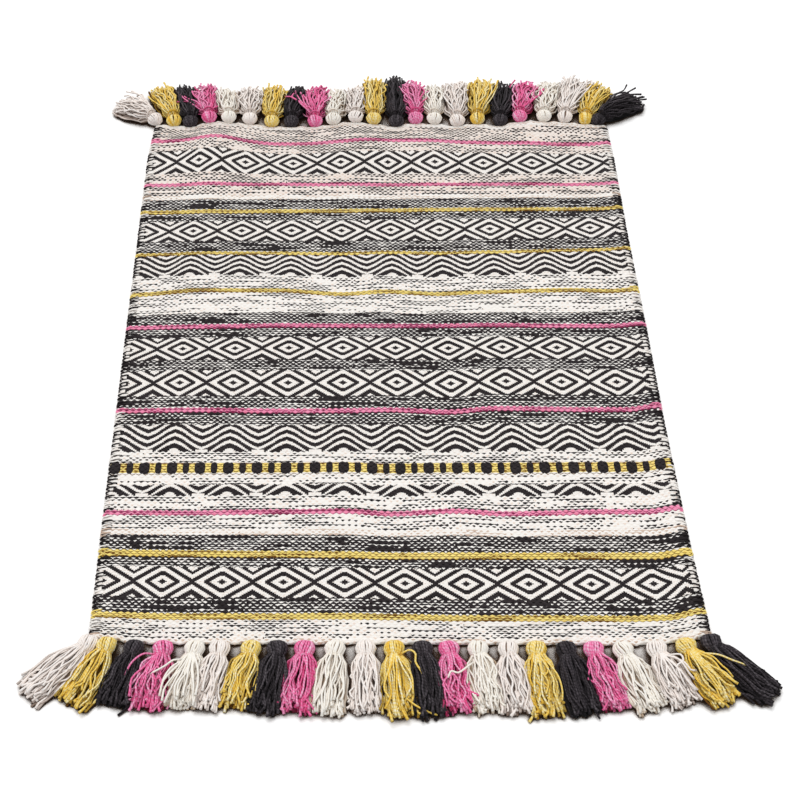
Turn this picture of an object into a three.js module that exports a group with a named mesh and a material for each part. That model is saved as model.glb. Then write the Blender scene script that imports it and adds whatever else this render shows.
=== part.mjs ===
// A small flat-woven cotton rug, lying on the floor, with a row of tied yarn tassels
// along each of its two ends.
//
// Millimetres. +X runs across the width, +Y along the length from the near end to the
// far end, and +Z up. The underside lies on z = 0.

import * as THREE from 'three';
import { mergeVertices } from 'three/addons/utils/BufferGeometryUtils.js';

// ---- The woven cloth ----
const CLOTH_WIDTH = 600;
const CLOTH_LENGTH = 750; // along the sides
const CLOTH_THICK = 4;
const END_BEYOND = { near: 6.2, far: 3.5 }; // how far each end reaches past its sides
const SKEW = -26; // how far the far end lies to one side of the near end
const SCALLOP = 0.08; // of the space between two tassels: how far the hem stands out there

// Distances of the cloth's rows of facets from the near end, closer where it ripples.
const ROWS = [0, 10, 120, 250, 400, 540, 620, 680, 725, 742, CLOTH_LENGTH];
const COLUMNS_PER_TASSEL = 4;

// How far each side stands out of its straight line, at distances from the near end.
const SIDES = [
  { at: 0, left: 0, right: 0 },
  { at: 120, left: 1.5, right: -2.5 },
  { at: 250, left: 2, right: -3.5 },
  { at: 400, left: 3, right: -2 },
  { at: 540, left: 3.5, right: -2 },
  { at: 680, left: 4.5, right: 0.5 },
  { at: CLOTH_LENGTH, left: 0, right: 0 },
];

// Low ripples that run in from the far end and die out before the rug's middle.
const RIPPLES = [
  { across: -217, height: 6.5, spread: 30 },
  { across: -42, height: 5, spread: 34 },
  { across: 202, height: 5, spread: 42 },
];
const RIPPLE_START = 540; // distance from the near end where the cloth begins to lift
const RIPPLE_FULL = 725;

// ---- The tassels ----
const GAP = 0.3; // between neighbouring pieces
const TASSEL_SIDES = 8;
const NECK_REACH = 15.5; // from the cloth's edge to the tie below the head
const USUAL_LENGTH = 74; // from the cloth's edge to the tips
const HEAD_REACH = 7; // from the cloth's edge to the middle of the head
const TURN_REACH = 14; // how far a tassel runs straight out before it leans over
const FAR_LOFT = 1.45; // the far skirts lie heaped up higher than the near ones

// The section at each reach: half its width, its lowest and highest points, the height of
// its widest line, and the share of the cloth's lift that carries it.
const SECTIONS = [
  { reach: GAP, half: 4.2, low: 2.4, widest: 5.4, high: 8.4, lift: 1 },
  { reach: 3, half: 8.8, low: 0.8, widest: 7, high: 12.8, lift: 1 },
  { reach: 8.5, half: 10.4, low: 0, widest: 7.6, high: 15, lift: 1 },
  { reach: NECK_REACH, half: 7.2, low: 1.2, widest: 6.6, high: 12, lift: 1 },
  { reach: 22, half: 13.6, low: 0, widest: 5.2, high: 14, lift: 0.4 },
  { reach: 38, half: 15.6, low: 0, widest: 4.8, high: 13.6, lift: 0 },
  { reach: 58, half: 15.8, low: 0, widest: 4, high: 11.4, lift: 0 },
  { reach: USUAL_LENGTH, half: 15.2, low: 0, widest: 3, high: 8.2, lift: 0 },
];

// The tassels in order from -X to +X. For each end: the tassel's place across, how far the
// cloth's end stands out there, the tassel's lean in degrees towards +X, and its length.
const TASSELS = [
  { near: [-297, -5.5, -45, 82], far: [-298, -2, -62, 74] },
  { near: [-280, -3.5, -23, 72], far: [-274, -5, -22, 80] },
  { near: [-254, -0.5, -17, 68], far: [-252, -8.5, -14, 82] },
  { near: [-226, 0, -10, 69], far: [-227, -4.5, -11, 79] },
  { near: [-196, 0, -9, 68], far: [-201, -3.5, -13, 70] },
  { near: [-172, 0, -11, 68], far: [-174, -1.5, -3, 70] },
  { near: [-142, 0, -12, 68], far: [-145, -6, 3, 77] },
  { near: [-117, 0, -8, 72], far: [-119, -6.5, 7, 75] },
  { near: [-91, 0, -5, 71], far: [-87, -7, 1, 76] },
  { near: [-62, 0, -6, 73], far: [-63, -5.5, 7, 68] },
  { near: [-33, 0, 1, 71], far: [-33, -2.5, 1, 71] },
  { near: [-6, 0, 8, 77], far: [-9, -3, 0, 90] },
  { near: [21, 0.5, 8, 75], far: [21, -6, 0, 96] },
  { near: [46, 0.5, 11, 71], far: [47, 0.5, -5, 80] },
  { near: [74, 0.5, 10, 71], far: [72, -0.5, -2, 72] },
  { near: [103, 0.5, 8, 72], far: [102, -4.5, 0, 86] },
  { near: [130, 0.5, 7, 76], far: [129, -1, 7, 86] },
  { near: [158, 1, 15, 75], far: [159, -6, 7, 82] },
  { near: [184, 1, 19, 70], far: [185, -1, 10, 82] },
  { near: [212, 1.5, 22, 72], far: [217, -0.5, 11, 81] },
  { near: [244, 0.5, 25, 68], far: [245, 1, 15, 92] },
  { near: [272, -2.5, 32, 73], far: [272, -1, 23, 83] },
  { near: [296, -6.5, 44, 83], far: [287, -2.5, 58, 78] },
].map((row) => ({ near: tasselRow(row.near), far: tasselRow(row.far) }));

// Both ends carry the yarns in this order, over and over.
const YARNS = [
  { name: 'grey', colour: 0xd6ccc3 },
  { name: 'mustard', colour: 0xd6b04a },
  { name: 'black', colour: 0x262124 },
  { name: 'pink', colour: 0xd9739c },
  { name: 'cream', colour: 0xeee4d6 },
];

const CLOTH_COLOUR = 0xb5aca2;
const COTTON_ROUGHNESS = 0.9;
const MERGE_WITHIN = 1e-4; // corners of one solid this near each other are one corner

const UP = new THREE.Vector3(0, 0, 1);
const { clamp, lerp, smoothstep, degToRad } = THREE.MathUtils;
const half = CLOTH_WIDTH / 2;

// A row of the table, with its columns named.
function tasselRow([at, out, lean, length]) {
  return { at, out, lean, length };
}

// A value of a table's column at a distance, between its rows.
function between(table, column, at) {
  const next = Math.max(1, table.findIndex((row) => row.at >= at));
  const [a, b] = [table[next - 1], table[next]];
  return lerp(a[column], b[column], (at - a.at) / (b.at - a.at));
}

// How far the cloth is lifted off the floor.
function rippleLift(x, along) {
  let lift = 0;
  for (const { across, height, spread } of RIPPLES) {
    lift += height * Math.exp(-(((x - across) / spread) ** 2));
  }
  return lift * smoothstep(along, RIPPLE_START, RIPPLE_FULL);
}

// One end of the cloth at a place between tassels, counted in tassels from the first: how
// far across it is, and how far it stands out there. Each tassel holds the end level over
// half its own space, and midway between two of them the hem stands out in a small scallop.
function clothEnd(end, place) {
  const next = clamp(Math.ceil(place), 1, TASSELS.length - 1);
  const [a, b] = [TASSELS[next - 1][end], TASSELS[next][end]];
  const share = place - (next - 1);
  const scallop = SCALLOP * (b.at - a.at) * (1 - smoothstep(Math.abs(share - 0.5), 0, 0.25));
  return {
    across: lerp(a.at, b.at, share),
    out: lerp(a.out, b.out, smoothstep(share, 0.25, 0.75)) + scallop,
  };
}

// A point of the cloth's underside, from its place across at both ends, how far the ends
// stand out there, and its distance along.
function clothPoint(near, far, along) {
  const share = along / CLOTH_LENGTH;
  const x = lerp(near.across, far.across, share);
  const nearEnd = -CLOTH_LENGTH / 2 - END_BEYOND.near - near.out;
  const farEnd = CLOTH_LENGTH / 2 + END_BEYOND.far + far.out;
  const stand = x < 0 ? -between(SIDES, 'left', along) : between(SIDES, 'right', along);
  return new THREE.Vector3(
    x + stand * Math.abs(x / half) + SKEW * (share - 0.5),
    lerp(nearEnd, farEnd, share),
    rippleLift(x, along),
  );
}

// Moves every vertex of a geometry by a function, and leaves one closed body.
function shaped(geometry, place) {
  const points = geometry.attributes.position;
  const point = new THREE.Vector3();
  for (let i = 0; i < points.count; i += 1) {
    place(point.fromBufferAttribute(points, i));
    points.setXYZ(i, point.x, point.y, point.z);
  }
  geometry.deleteAttribute('normal');
  geometry.deleteAttribute('uv');
  const body = mergeVertices(geometry, MERGE_WITHIN);
  body.computeVertexNormals();
  return body;
}

function piece(name, geometry, colour, roughness) {
  const material = new THREE.MeshStandardMaterial({ color: colour, roughness, metalness: 0 });
  const mesh = new THREE.Mesh(geometry, material);
  mesh.name = name;
  return mesh;
}

// The cloth: one woven sheet, its hems turned in with it.
function clothGeometry() {
  const columns = (TASSELS.length - 1) * COLUMNS_PER_TASSEL;
  const rows = ROWS.length - 1;
  return shaped(new THREE.BoxGeometry(1, 1, 1, columns, rows, 1), (point) => {
    const column = Math.round((point.x + 0.5) * columns);
    const row = Math.round((point.y + 0.5) * rows);
    const top = point.z > 0;
    const [near, far] = ['near', 'far'].map((end) => clothEnd(end, column / COLUMNS_PER_TASSEL));
    if (column === 0 || column === columns) {
      const side = Math.sign(point.x) * half;
      near.across = side;
      far.across = side;
    }
    point.copy(clothPoint(near, far, ROWS[row]));
    if (top) point.z += CLOTH_THICK;
  });
}

// The line that a tassel follows over the floor: straight out of the cloth, then leaning.
function tasselLine(end, place) {
  const { lean, length } = TASSELS[place][end];
  const out = end === 'far' ? 1 : -1;
  const angle = degToRad(lean);
  const atEnd = clothEnd(end, place);
  const root = clothPoint(atEnd, atEnd, end === 'far' ? CLOTH_LENGTH : 0);
  const lift = root.z;
  root.z = 0;
  const turn = root.clone().add(new THREE.Vector3(0, out * TURN_REACH, 0));
  const reach = length - HEAD_REACH;
  const tip = root.clone().add(new THREE.Vector3(
    Math.sin(angle) * reach,
    out * (HEAD_REACH + Math.cos(angle) * reach),
    0,
  ));
  const curve = new THREE.QuadraticBezierCurve3(root, turn, tip);
  return { curve, length, lift };
}

// A point on that line at a section. Only the skirt stretches with the tassel's length.
function lineShare(line, reach) {
  const skirt = Math.max(0, reach - NECK_REACH);
  const stretch = (line.length - NECK_REACH) / (USUAL_LENGTH - NECK_REACH);
  return (Math.min(reach, NECK_REACH) + skirt * stretch) / line.length;
}

// One tassel: a wound head against the cloth's edge, a tied neck, and a flat spread skirt
// that keeps to its own half of the space between it and each neighbour.
function tasselGeometry(end, place) {
  const line = tasselLine(end, place);
  const out = end === 'far' ? 1 : -1;
  const loft = end === 'far' ? FAR_LOFT : 1;
  const last = SECTIONS.length - 1;
  const neighbours = [-1, 1].map((side) => {
    const other = place + side * out;
    return TASSELS[other] ? tasselLine(end, other) : null;
  });
  return shaped(new THREE.CylinderGeometry(1, 1, 1, TASSEL_SIDES, last), (point) => {
    const section = SECTIONS[Math.round((point.y + 0.5) * last)];
    const share = lineShare(line, section.reach);
    const centre = line.curve.getPointAt(share);
    const sideways = line.curve.getTangentAt(share).cross(UP).normalize();
    const neighbour = neighbours[point.x > 0 ? 1 : 0];
    let width = section.half;
    if (neighbour) {
      const beside = neighbour.curve.getPointAt(lineShare(neighbour, section.reach)).sub(centre);
      width = Math.min(width, (beside.length() - GAP) / 2);
      sideways.copy(beside.normalize()).multiplyScalar(point.x > 0 ? 1 : -1);
    }
    if (section === SECTIONS[0]) sideways.set(out, 0, 0); // level with the cloth's end
    const skirt = section.reach > NECK_REACH;
    const high = section.high * (skirt ? loft : 1);
    const up = point.z;
    const height = up >= 0
      ? lerp(section.widest, high, up)
      : lerp(section.widest, section.low, Math.min(1, -up * Math.SQRT2));
    centre.addScaledVector(sideways, point.x * width);
    point.set(centre.x, centre.y, height + line.lift * section.lift);
  });
}

const rug = new THREE.Group();
rug.add(piece('rug_cloth', clothGeometry(), CLOTH_COLOUR, COTTON_ROUGHNESS));
for (const end of ['near', 'far']) {
  TASSELS.forEach((_, place) => {
    const yarn = YARNS[place % YARNS.length];
    const number = String(place + 1).padStart(2, '0');
    const name = `tassel_${end}_${number}_${yarn.name}`;
    rug.add(piece(name, tasselGeometry(end, place), yarn.colour, COTTON_ROUGHNESS));
  });
}

// The rug stands on the middle of its own outline.
const box = new THREE.Box3().setFromObject(rug);
const middle = box.getCenter(new THREE.Vector3());
rug.position.set(-middle.x, -middle.y, 0);

export default rug;
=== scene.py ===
import math
from collections import namedtuple

import bmesh
import bpy
import numpy as np
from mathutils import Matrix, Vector, noise


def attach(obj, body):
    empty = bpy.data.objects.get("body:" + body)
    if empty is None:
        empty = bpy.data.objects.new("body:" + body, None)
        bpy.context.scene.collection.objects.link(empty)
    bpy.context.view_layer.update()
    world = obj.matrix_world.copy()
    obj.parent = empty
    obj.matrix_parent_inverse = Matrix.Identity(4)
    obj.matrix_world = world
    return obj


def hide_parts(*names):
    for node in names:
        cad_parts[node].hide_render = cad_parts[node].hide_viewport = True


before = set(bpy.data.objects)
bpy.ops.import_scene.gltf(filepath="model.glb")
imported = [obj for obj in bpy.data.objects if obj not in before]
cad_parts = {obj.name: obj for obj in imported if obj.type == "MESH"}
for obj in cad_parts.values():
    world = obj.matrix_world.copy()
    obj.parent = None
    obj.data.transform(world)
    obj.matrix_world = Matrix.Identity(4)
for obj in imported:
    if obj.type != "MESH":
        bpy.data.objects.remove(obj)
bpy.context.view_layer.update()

MM = 0.001


# ---- Camera, floor and light ----
# The rug is looked at from above its near end. The floor is a plain white sheet, with painted shade
# where the rug's pieces lie close over it, and the light is a white room with one broad soft lamp
# behind and above the far end.
CAMERA_PLACE = (0.01496, -0.93692, 1.0979)
CAMERA_PITCH = 37.67  # degrees up from straight down
LENS = 56.25
FLOOR_REACH = 4.0
FLOOR_DROP = 0.0002
ROOM_LIGHT = 0.62
LAMP_LIGHT = 1.35
LAMP_SPREAD = 40
LAMP_AIM = (0.22, -0.42, -1.0)
FLOOR_WHITE = 1.2  # as the camera sees it
FLOOR_PALE = (0.8, 0.8, 0.8, 1)  # as the rug sees it
HIDDEN_REACH = 0.03  # how near a thing has to be to give the floor painted shade
PAINTED_SHADE_STOPS = [  # how open a spot of the floor is, and the share of light that the painted shade leaves there
    (0.48, (0.05, 0.032, 0.022, 1)),
    (0.53, (0.13, 0.09, 0.07, 1)),
    (0.585, (0.64, 0.59, 0.55, 1)),
    (0.67, (1, 1, 1, 1)),
]

camera = bpy.data.objects.new("camera", bpy.data.cameras.new("camera"))
camera.data.lens = LENS
camera.data.clip_end = 20
camera.location = CAMERA_PLACE
camera.rotation_euler = (math.radians(CAMERA_PITCH), 0, 0)
bpy.context.scene.collection.objects.link(camera)
bpy.context.scene.camera = camera
bpy.context.scene.view_settings.view_transform = "Standard"


class Number:
    """A number that a finish works out at each point of a piece."""

    def __init__(self, finish, socket):
        self.finish = finish
        self.socket = socket

    def __add__(self, other):
        return self.finish.maths("ADD", self, other)

    def __radd__(self, other):
        return self.finish.maths("ADD", other, self)

    def __sub__(self, other):
        return self.finish.maths("SUBTRACT", self, other)

    def __rsub__(self, other):
        return self.finish.maths("SUBTRACT", other, self)

    def __mul__(self, other):
        return self.finish.maths("MULTIPLY", self, other)

    def __rmul__(self, other):
        return self.finish.maths("MULTIPLY", other, self)

    def __truediv__(self, other):
        return self.finish.maths("DIVIDE", self, other)

    def __lt__(self, other):
        return self.finish.maths("LESS_THAN", self, other)

    def __gt__(self, other):
        return self.finish.maths("GREATER_THAN", self, other)

    def __abs__(self):
        return self.finish.maths("ABSOLUTE", self)


class Finish:
    """A material whose numbers are put together by formula."""

    def __init__(self, name, roughness=0.9, sheen=0.0):
        self.material = bpy.data.materials.new(name)
        self.material.use_nodes = True
        self.tree = self.material.node_tree
        self.shader = self.tree.nodes["Principled BSDF"]
        self.shader.inputs["Roughness"].default_value = roughness
        self.shader.inputs["Specular IOR Level"].default_value = 0.25
        self.shader.inputs["Sheen Weight"].default_value = sheen
        self.shader.inputs["Sheen Tint"].default_value = (1, 1, 1, 1)

    def put(self, kind, inputs, output=0, **settings):
        node = self.tree.nodes.new(kind)
        for key, value in settings.items():
            setattr(node, key, value)
        for key, value in inputs.items():
            if isinstance(value, Number):
                self.tree.links.new(value.socket, node.inputs[key])
            else:
                node.inputs[key].default_value = value
        return Number(self, node.outputs[output])

    def maths(self, operation, *terms, clamp=False):
        inputs = dict(enumerate(terms))
        return self.put("ShaderNodeMath", inputs, operation=operation, use_clamp=clamp)

    def held(self, value):
        """value kept between 0 and 1."""
        return self.maths("ADD", value, 0.0, clamp=True)

    def parts(self, vector):
        return [self.put("ShaderNodeSeparateXYZ", {0: vector}, i) for i in range(3)]

    def map(self, name):
        across, along, _ = self.parts(self.put("ShaderNodeUVMap", {}, uv_map=name))
        return across, along

    def sewn_in(self, name, output="Vector"):
        """An attribute of the piece."""
        return self.put("ShaderNodeAttribute", {}, output, attribute_name=name)

    def vector(self, *terms):
        return self.put("ShaderNodeCombineXYZ", dict(enumerate(terms)))

    def noise(self, place, scale, detail=1.0, roughness=0.5, dimensions="3D"):
        inputs = {"Vector": place, "Scale": scale, "Detail": detail, "Roughness": roughness}
        return self.put("ShaderNodeTexNoise", inputs, noise_dimensions=dimensions)

    def chance(self, place):
        inputs = {"Vector": place}
        return self.put("ShaderNodeTexWhiteNoise", inputs, noise_dimensions="2D")

    def blend(self, share, first, second, way="MIX"):
        """Colours first and second, with this share of the second."""
        inputs = {0: share, 6: first, 7: second}
        return self.put("ShaderNodeMix", inputs, 2, data_type="RGBA", blend_type=way)

    def ramp(self, share, stops, output=0, smooth=False):
        """The colour at share on a ramp of (position, colour) stops."""
        result = self.put("ShaderNodeValToRGB", {0: share}, output)
        ramp = result.socket.node.color_ramp
        ramp.interpolation = "LINEAR" if smooth else "CONSTANT"
        for spare in range(len(stops) - 2):
            ramp.elements.new(0.5)
        for element, (position, colour) in zip(ramp.elements, stops):
            element.position = position
            element.color = colour
        return result

    def wear(self, colour, height=None):
        """Gives the shader its colour, and its relief from a height in millimetres."""
        self.tree.links.new(colour.socket, self.shader.inputs["Base Color"])
        if height is not None:
            inputs = {"Height": height, "Distance": MM, "Strength": 1.0}
            relief = self.put("ShaderNodeBump", inputs)
            self.tree.links.new(relief.socket, self.shader.inputs["Normal"])


def dye(red, green, blue):
    """A colour out of 255, as the light it sends back."""
    shares = [value / 255 for value in (red, green, blue)]
    return tuple(s / 12.92 if s <= 0.04045 else ((s + 0.055) / 1.055) ** 2.4 for s in shares)


def new_piece(name, mesh):
    piece = bpy.data.objects.new(name, mesh)
    bpy.context.scene.collection.objects.link(piece)
    return piece


floor_form = bmesh.new()
bmesh.ops.create_grid(floor_form, x_segments=1, y_segments=1, size=FLOOR_REACH)
bmesh.ops.translate(floor_form, vec=(0, 0, -FLOOR_DROP), verts=floor_form.verts)
floor_mesh = bpy.data.meshes.new("floor")
floor_form.to_mesh(floor_mesh)
floor = new_piece("floor", floor_mesh)

floor_finish = Finish("floor_paper", roughness=1.0)
floor_finish.shader.inputs["Specular IOR Level"].default_value = 0
seen = floor_finish.put("ShaderNodeLightPath", {}, "Is Camera Ray")
nearby = {"Distance": HIDDEN_REACH}
# Painted shade on the floor as the camera sees it: the less open a spot, the darker.
open_share = floor_finish.put("ShaderNodeAmbientOcclusion", nearby, 1, samples=8)
painted_floor_shade = floor_finish.ramp(open_share, PAINTED_SHADE_STOPS, smooth=True)
lit = floor_finish.blend(1.0, painted_floor_shade, (FLOOR_WHITE, FLOOR_WHITE, FLOOR_WHITE, 1), "MULTIPLY")
floor_finish.wear(floor_finish.blend(seen, FLOOR_PALE, lit))
floor_mesh.materials.append(floor_finish.material)

room = bpy.data.worlds.new("white_room")
room.use_nodes = True
bpy.context.scene.world = room
walls = room.node_tree.nodes["Background"]
walls.inputs["Color"].default_value = (1, 1, 1, 1)
room_path = room.node_tree.nodes.new("ShaderNodeLightPath")
room_level = room.node_tree.nodes.new("ShaderNodeMapRange")
room_level.inputs["To Min"].default_value = ROOM_LIGHT
room_level.inputs["To Max"].default_value = 1.0
room.node_tree.links.new(room_path.outputs["Is Camera Ray"], room_level.inputs["Value"])
room.node_tree.links.new(room_level.outputs["Result"], walls.inputs["Strength"])

lamp = bpy.data.objects.new("soft_lamp", bpy.data.lights.new("soft_lamp", "SUN"))
lamp.data.energy = LAMP_LIGHT
lamp.data.angle = math.radians(LAMP_SPREAD)
lamp.rotation_euler = Vector(LAMP_AIM).to_track_quat("-Z", "Y").to_euler()
bpy.context.scene.collection.objects.link(lamp)


# ---- The woven cloth ----
# Cotton weft packed down over a strong warp, so only the weft shows, with each pick going
# over one warp thread and under the next. It is woven in bands: heather of two yarns laid
# in together, thick bright stripes, nested diamonds and zigzags, and a chequered stripe.
CLOTH_WIDTH = 600.0
CLOTH_LENGTH = 750.0  # along the sides
CLOTH_TOP = 3.4
WOVEN_LENGTH = 766.0  # along the middle, from the first pick to the last
FIRST_PICK = -384.0
NEAR_LINE, FAR_LINE = -381.2, 378.5  # where the tassels are drawn through the hems
SKEW = -26.0
SCALLOP = 0.08  # of the space between two tassels: how far the hem stands out there
SCALLOP_DEPTH = 12.0  # how far into the cloth a scallop shows
FRAME_SHIFT = (1.99, -5.53)  # from the cloth's own middle to the whole rug's

# The tassels in order from -X to +X. For each end: the tassel's place across, how far the
# cloth's end stands out there, the tassel's lean in degrees towards +X, and its length.
TASSELS = [
    ((-297, -5.5, -45, 82), (-298, -2, -62, 69)), ((-280, -3.5, -23, 72), (-274, -5, -22, 80)),
    ((-254, -0.5, -17, 68), (-252, -8.5, -14, 82)), ((-226, 0, -10, 69), (-227, -4.5, -11, 79)),
    ((-196, 0, -9, 68), (-201, -3.5, -13, 70)), ((-172, 0, -11, 68), (-174, -1.5, -3, 70)),
    ((-142, 0, -12, 68), (-145, -6, 3, 77)), ((-117, 0, -8, 72), (-119, -6.5, 7, 75)),
    ((-91, 0, -5, 71), (-87, -7, 1, 76)), ((-62, 0, -6, 73), (-63, -5.5, 7, 68)),
    ((-33, 0, 1, 71), (-33, -2.5, 1, 71)), ((-6, 0, 8, 77), (-9, -3, 0, 90)),
    ((21, 0.5, 8, 75), (21, -6, 0, 96)), ((46, 0.5, 11, 71), (47, 0.5, -5, 80)),
    ((74, 0.5, 10, 71), (72, -0.5, -2, 72)), ((103, 0.5, 8, 72), (102, -4.5, 0, 86)),
    ((130, 0.5, 7, 76), (129, -1, 7, 86)), ((158, 1, 15, 75), (159, -6, 7, 82)),
    ((184, 1, 19, 70), (185, -1, 10, 82)), ((212, 1.5, 22, 72), (217, -0.5, 11, 81)),
    ((244, 0.5, 25, 68), (245, 1, 15, 92)), ((272, -2.5, 32, 73), (272, -1, 23, 83)),
    ((296, -6.5, 44, 83), (287, -2.5, 58, 78)),
]
NEAR, FAR = (np.array([row[end] for row in TASSELS], float) for end in (0, 1))

# How far each side stands out of its straight line: at, left, right.
SIDES = np.array([
    (0, 0, 0),
    (120, 1.5, -2.5),
    (250, 2, -3.5),
    (400, 3, -2),
    (540, 3.5, -2),
    (680, 4.5, 0.5),
    (750, 0, 0),
], float)
RIPPLES = [(-217, 6.5, 30), (-42, 5, 34), (202, 5, 42)]  # across, height, spread
RIPPLE_START, RIPPLE_FULL = 540, 725

# How far the picks wander towards the far end, at places across for each distance along.
WANDER_ACROSS = (-300, -215, -125, -50, 0, 65, 120, 225, 262, 300)
WANDER = [
    (31, (1, -1, -1, -0.5, -1.5, -3, -3, -3.5, -2.5, 5.5)),
    (101, (2, 1, 0, -0.5, -2, -2, -2, -2, -2, 3.5)),
    (151, (-1, -1.5, 0, 1, -2.5, 1, -2.5, 0, 0, 5.5)),
    (283, (-1, 0.5, -1, -0.5, 0.5, -2.5, 2.5, 1, 1, 6.5)),
    (405, (-2.5, -0.5, 1.5, 1.5, 1, 1, 2, 1, 1, 4.5)),
    (458, (-4, 4, 3.5, -2.5, 1.5, -2.5, 1, 4, 2.5, 5)),
    (524, (-5, -1, -1.5, -2, 0, -1.5, 0.5, 3.5, 4.5, 8)),
    (597, (-4, -2.5, -1, -1, 0, 1.5, 2.5, 2, 3, 6)),
    (644, (-1, -0.5, 1.5, -1, -1, 1, 1, -1, 1, 4)),
    (729, (-1.5, 3.5, -6.5, -6, 1, 1.5, -3.5, -11.5, -8, -3.5)),
]

# How far the warp threads stray towards +X, at places across: they lie a little closer
# together in the half towards -X, and a little further apart in the other.
WARP_STRAY = np.array([
    (0, 1.0), (36, 1.6), (84, -0.9), (132, -2.1), (180, -2.4), (228, -2.3), (276, -3.2),
    (324, -4.3), (372, -4.3), (420, -3.2), (468, -2.3), (516, -1.2), (564, -0.6), (600, 0),
], float)


def smooth_step(value, start, end):
    t = np.clip((value - start) / (end - start), 0, 1)
    return t * t * (3 - 2 * t)


def ripple_lift(x, along):
    bumps = sum(h * np.exp(-(((x - at) / spread) ** 2)) for at, h, spread in RIPPLES)
    return bumps * smooth_step(along, RIPPLE_START, RIPPLE_FULL)


def end_stand(tassels, x):
    """How far an end of the cloth stands out: level where a tassel holds it, and in a small
    scallop midway between two. Returns the level part and the scallop."""
    at, out = tassels[:, 0], tassels[:, 1]
    step = np.clip(np.searchsorted(at, x), 1, len(at) - 1)
    share = np.clip((x - at[step - 1]) / (at[step] - at[step - 1]), 0, 1)
    scallop = SCALLOP * (at[step] - at[step - 1]) * (1 - smooth_step(abs(share - 0.5), 0, 0.25))
    level = out[step - 1] + (out[step] - out[step - 1]) * smooth_step(share, 0.25, 0.75)
    return level, scallop


def cloth_place(x, y, share):
    """A point of the cloth's underside in the rug's frame."""
    along = share * CLOTH_LENGTH + 0 * x
    left = np.interp(along, SIDES[:, 0], SIDES[:, 1])
    right = np.interp(along, SIDES[:, 0], SIDES[:, 2])
    stand = np.where(x < 0, -left, right)
    place = x + stand * np.abs(x / (CLOTH_WIDTH / 2)) + SKEW * (share - 0.5)
    return np.stack([place + FRAME_SHIFT[0], y + FRAME_SHIFT[1], ripple_lift(x, along)], -1)


def wander(x, along):
    """How far the picks stray from a straight line."""
    table = np.array([moves for _, moves in WANDER])
    step = np.clip(np.searchsorted(WANDER_ACROSS, x, side="right") - 1, 0, table.shape[1] - 2)
    low, high = np.take(WANDER_ACROSS, step), np.take(WANDER_ACROSS, step + 1)
    share = smooth_step(x, low, high)
    rows = table[:, step] * (1 - share) + table[:, step + 1] * share
    near_level, near_scallop = end_stand(NEAR, x)
    far_level, far_scallop = end_stand(FAR, x)
    first = NEAR_LINE - FIRST_PICK - near_level
    final = FAR_LINE - FIRST_PICK - WOVEN_LENGTH + far_level
    rows = np.concatenate([[first], rows, [final]])
    places = np.array([0, *(at for at, _ in WANDER), WOVEN_LENGTH])
    step = np.clip(np.searchsorted(places, along, side="right") - 1, 0, len(places) - 2)
    share = (along - places[step]) / (places[step + 1] - places[step])
    each = np.arange(len(x))
    level = rows[step, each] * (1 - share) + rows[step + 1, each] * share
    near_share = np.clip(1 - along / SCALLOP_DEPTH, 0, 1)
    far_share = np.clip(1 - (WOVEN_LENGTH - along) / SCALLOP_DEPTH, 0, 1)
    return level - near_scallop * near_share + far_scallop * far_share


WHITE_YARN = dye(255, 251, 246)
BLACK_YARN = dye(36, 30, 32)
MUSTARD_YARN = dye(255, 230, 130)
PINK_YARN = dye(252, 148, 186)
TAN_YARN = dye(214, 190, 172)
# The honey and rose yarns show as dashes, and serve also as painted shade in the furrows between
# the picks of the thick stripes.
HONEY_AND_FURROW_SHADE = dye(112, 72, 14)
ROSE_AND_FURROW_SHADE = dye(136, 42, 80)
PEACH_YARN = dye(247, 237, 229)

# Each weave: the height of a pick, its main and second yarns, how often the second one
# shows at a crossing, how often it takes over, how far the picks swing round the warp, how
# high the cloth stands, its figure, and how thick the second yarn shows.
Weave = namedtuple("Weave", "pick main second shows takes_over swing stand figure thickness")
WEAVES = {
    "hem": (3.0, WHITE_YARN, TAN_YARN, 0.45, 0.10, 0.30, 0.6, None, 0.30),
    "white": (3.0, WHITE_YARN, TAN_YARN, 0.66, 0.25, 0.28, 0.0, None, 0.27),
    "cream": (2.9, WHITE_YARN, BLACK_YARN, 0.70, 0.34, 0.28, 0.0, None, 0.34),
    "pale cream": (2.9, WHITE_YARN, BLACK_YARN, 0.50, 0.20, 0.28, 0.0, None, 0.28),
    "peach": (2.9, PEACH_YARN, BLACK_YARN, 0.78, 0.30, 0.28, 0.0, None, 0.42),
    "dark": (2.7, BLACK_YARN, WHITE_YARN, 0.88, 0.30, 0.38, 0.0, None, 0.18),
    "mustard": (2.4, MUSTARD_YARN, HONEY_AND_FURROW_SHADE, 0.42, 0.12, 0.36, 1.0, None, 0.24),
    "pink": (3.1, PINK_YARN, ROSE_AND_FURROW_SHADE, 0.40, 0.10, 0.36, 1.0, None, 0.24),
    "diamond": (2.8, WHITE_YARN, BLACK_YARN, 0.0, 0.0, 0.20, 0.2, "diamond", 0.2),
    "zigzag": (2.8, WHITE_YARN, BLACK_YARN, 0.0, 0.0, 0.20, 0.2, "zigzag", 0.2),
    "chequer": (3.2, MUSTARD_YARN, HONEY_AND_FURROW_SHADE, 0.3, 0.1, 0.30, 1.0, "chequer", 0.24),
}
WEAVES = {name: Weave(*row) for name, row in WEAVES.items()}

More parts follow.
